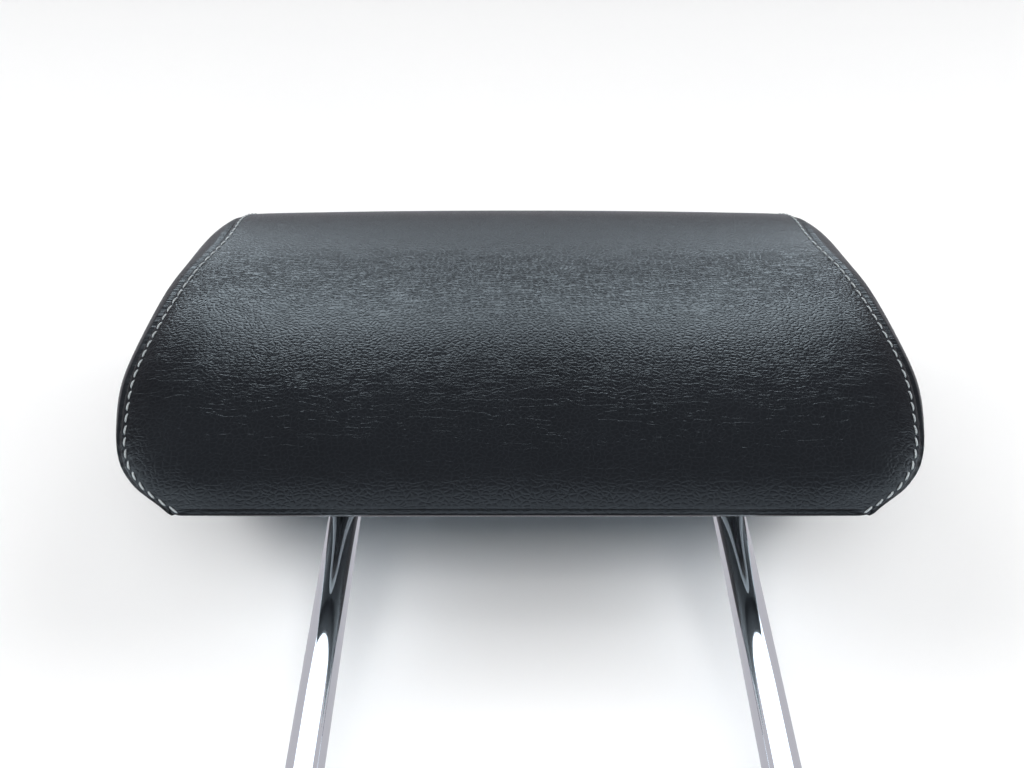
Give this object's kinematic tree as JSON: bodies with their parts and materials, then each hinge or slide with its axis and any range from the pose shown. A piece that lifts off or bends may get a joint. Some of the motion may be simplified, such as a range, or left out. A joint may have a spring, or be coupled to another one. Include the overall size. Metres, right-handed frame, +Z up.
{
  "type": "car headrest",
  "caption": "Leather-covered car headrest on a bent chrome post frame, with a foam pad that tilts forward on the crossbar.",
  "frame": {"origin": "midway between the two post axes, level with the pad's lower lip", "axes": "+Z up along the posts, -Y towards the head, +X to the viewer's right when seen from the front"},
  "size_m": [0.287, 0.1073, 0.3378],
  "materials": {
    "leather": "satin pebble grain",
    "chrome": "mirror",
    "trim_plastic": "matte moulded",
    "carrier_plastic": "matte moulded",
    "steel": "plated",
    "foam": "moulded charcoal foam",
    "thread": "twisted thread"
  },
  "bodies": {
    "posts": {"post_frame": "chrome"},
    "pad": {"carrier_front": "carrier_plastic", "carrier_back": "carrier_plastic", "carrier_screw_1": "steel", "carrier_screw_2": "steel", "carrier_screw_3": "steel", "carrier_screw_4": "steel", "friction_clip_left": "steel", "friction_clip_right": "steel", "clip_screw_left_upper": "steel", "clip_screw_left_lower": "steel", "clip_screw_right_upper": "steel", "clip_screw_right_lower": "steel", "foam_core": "foam", "cover_front": "leather", "cover_back": "leather", "cover_bottom": "leather", "cover_side_left": "leather", "cover_side_right": "leather", "post_bezel_left": "trim_plastic", "post_bezel_right": "trim_plastic", "closure_strip_back": "trim_plastic", "closure_strip_bottom": "trim_plastic"}
  },
  "joints": [
    {"name": "pad_tilt", "type": "hinge", "parent": "posts", "child": "pad", "pos_m": [0, 0, 0.088], "axis": [1, 0, 0], "range_deg": [0, 18]}
  ]
}
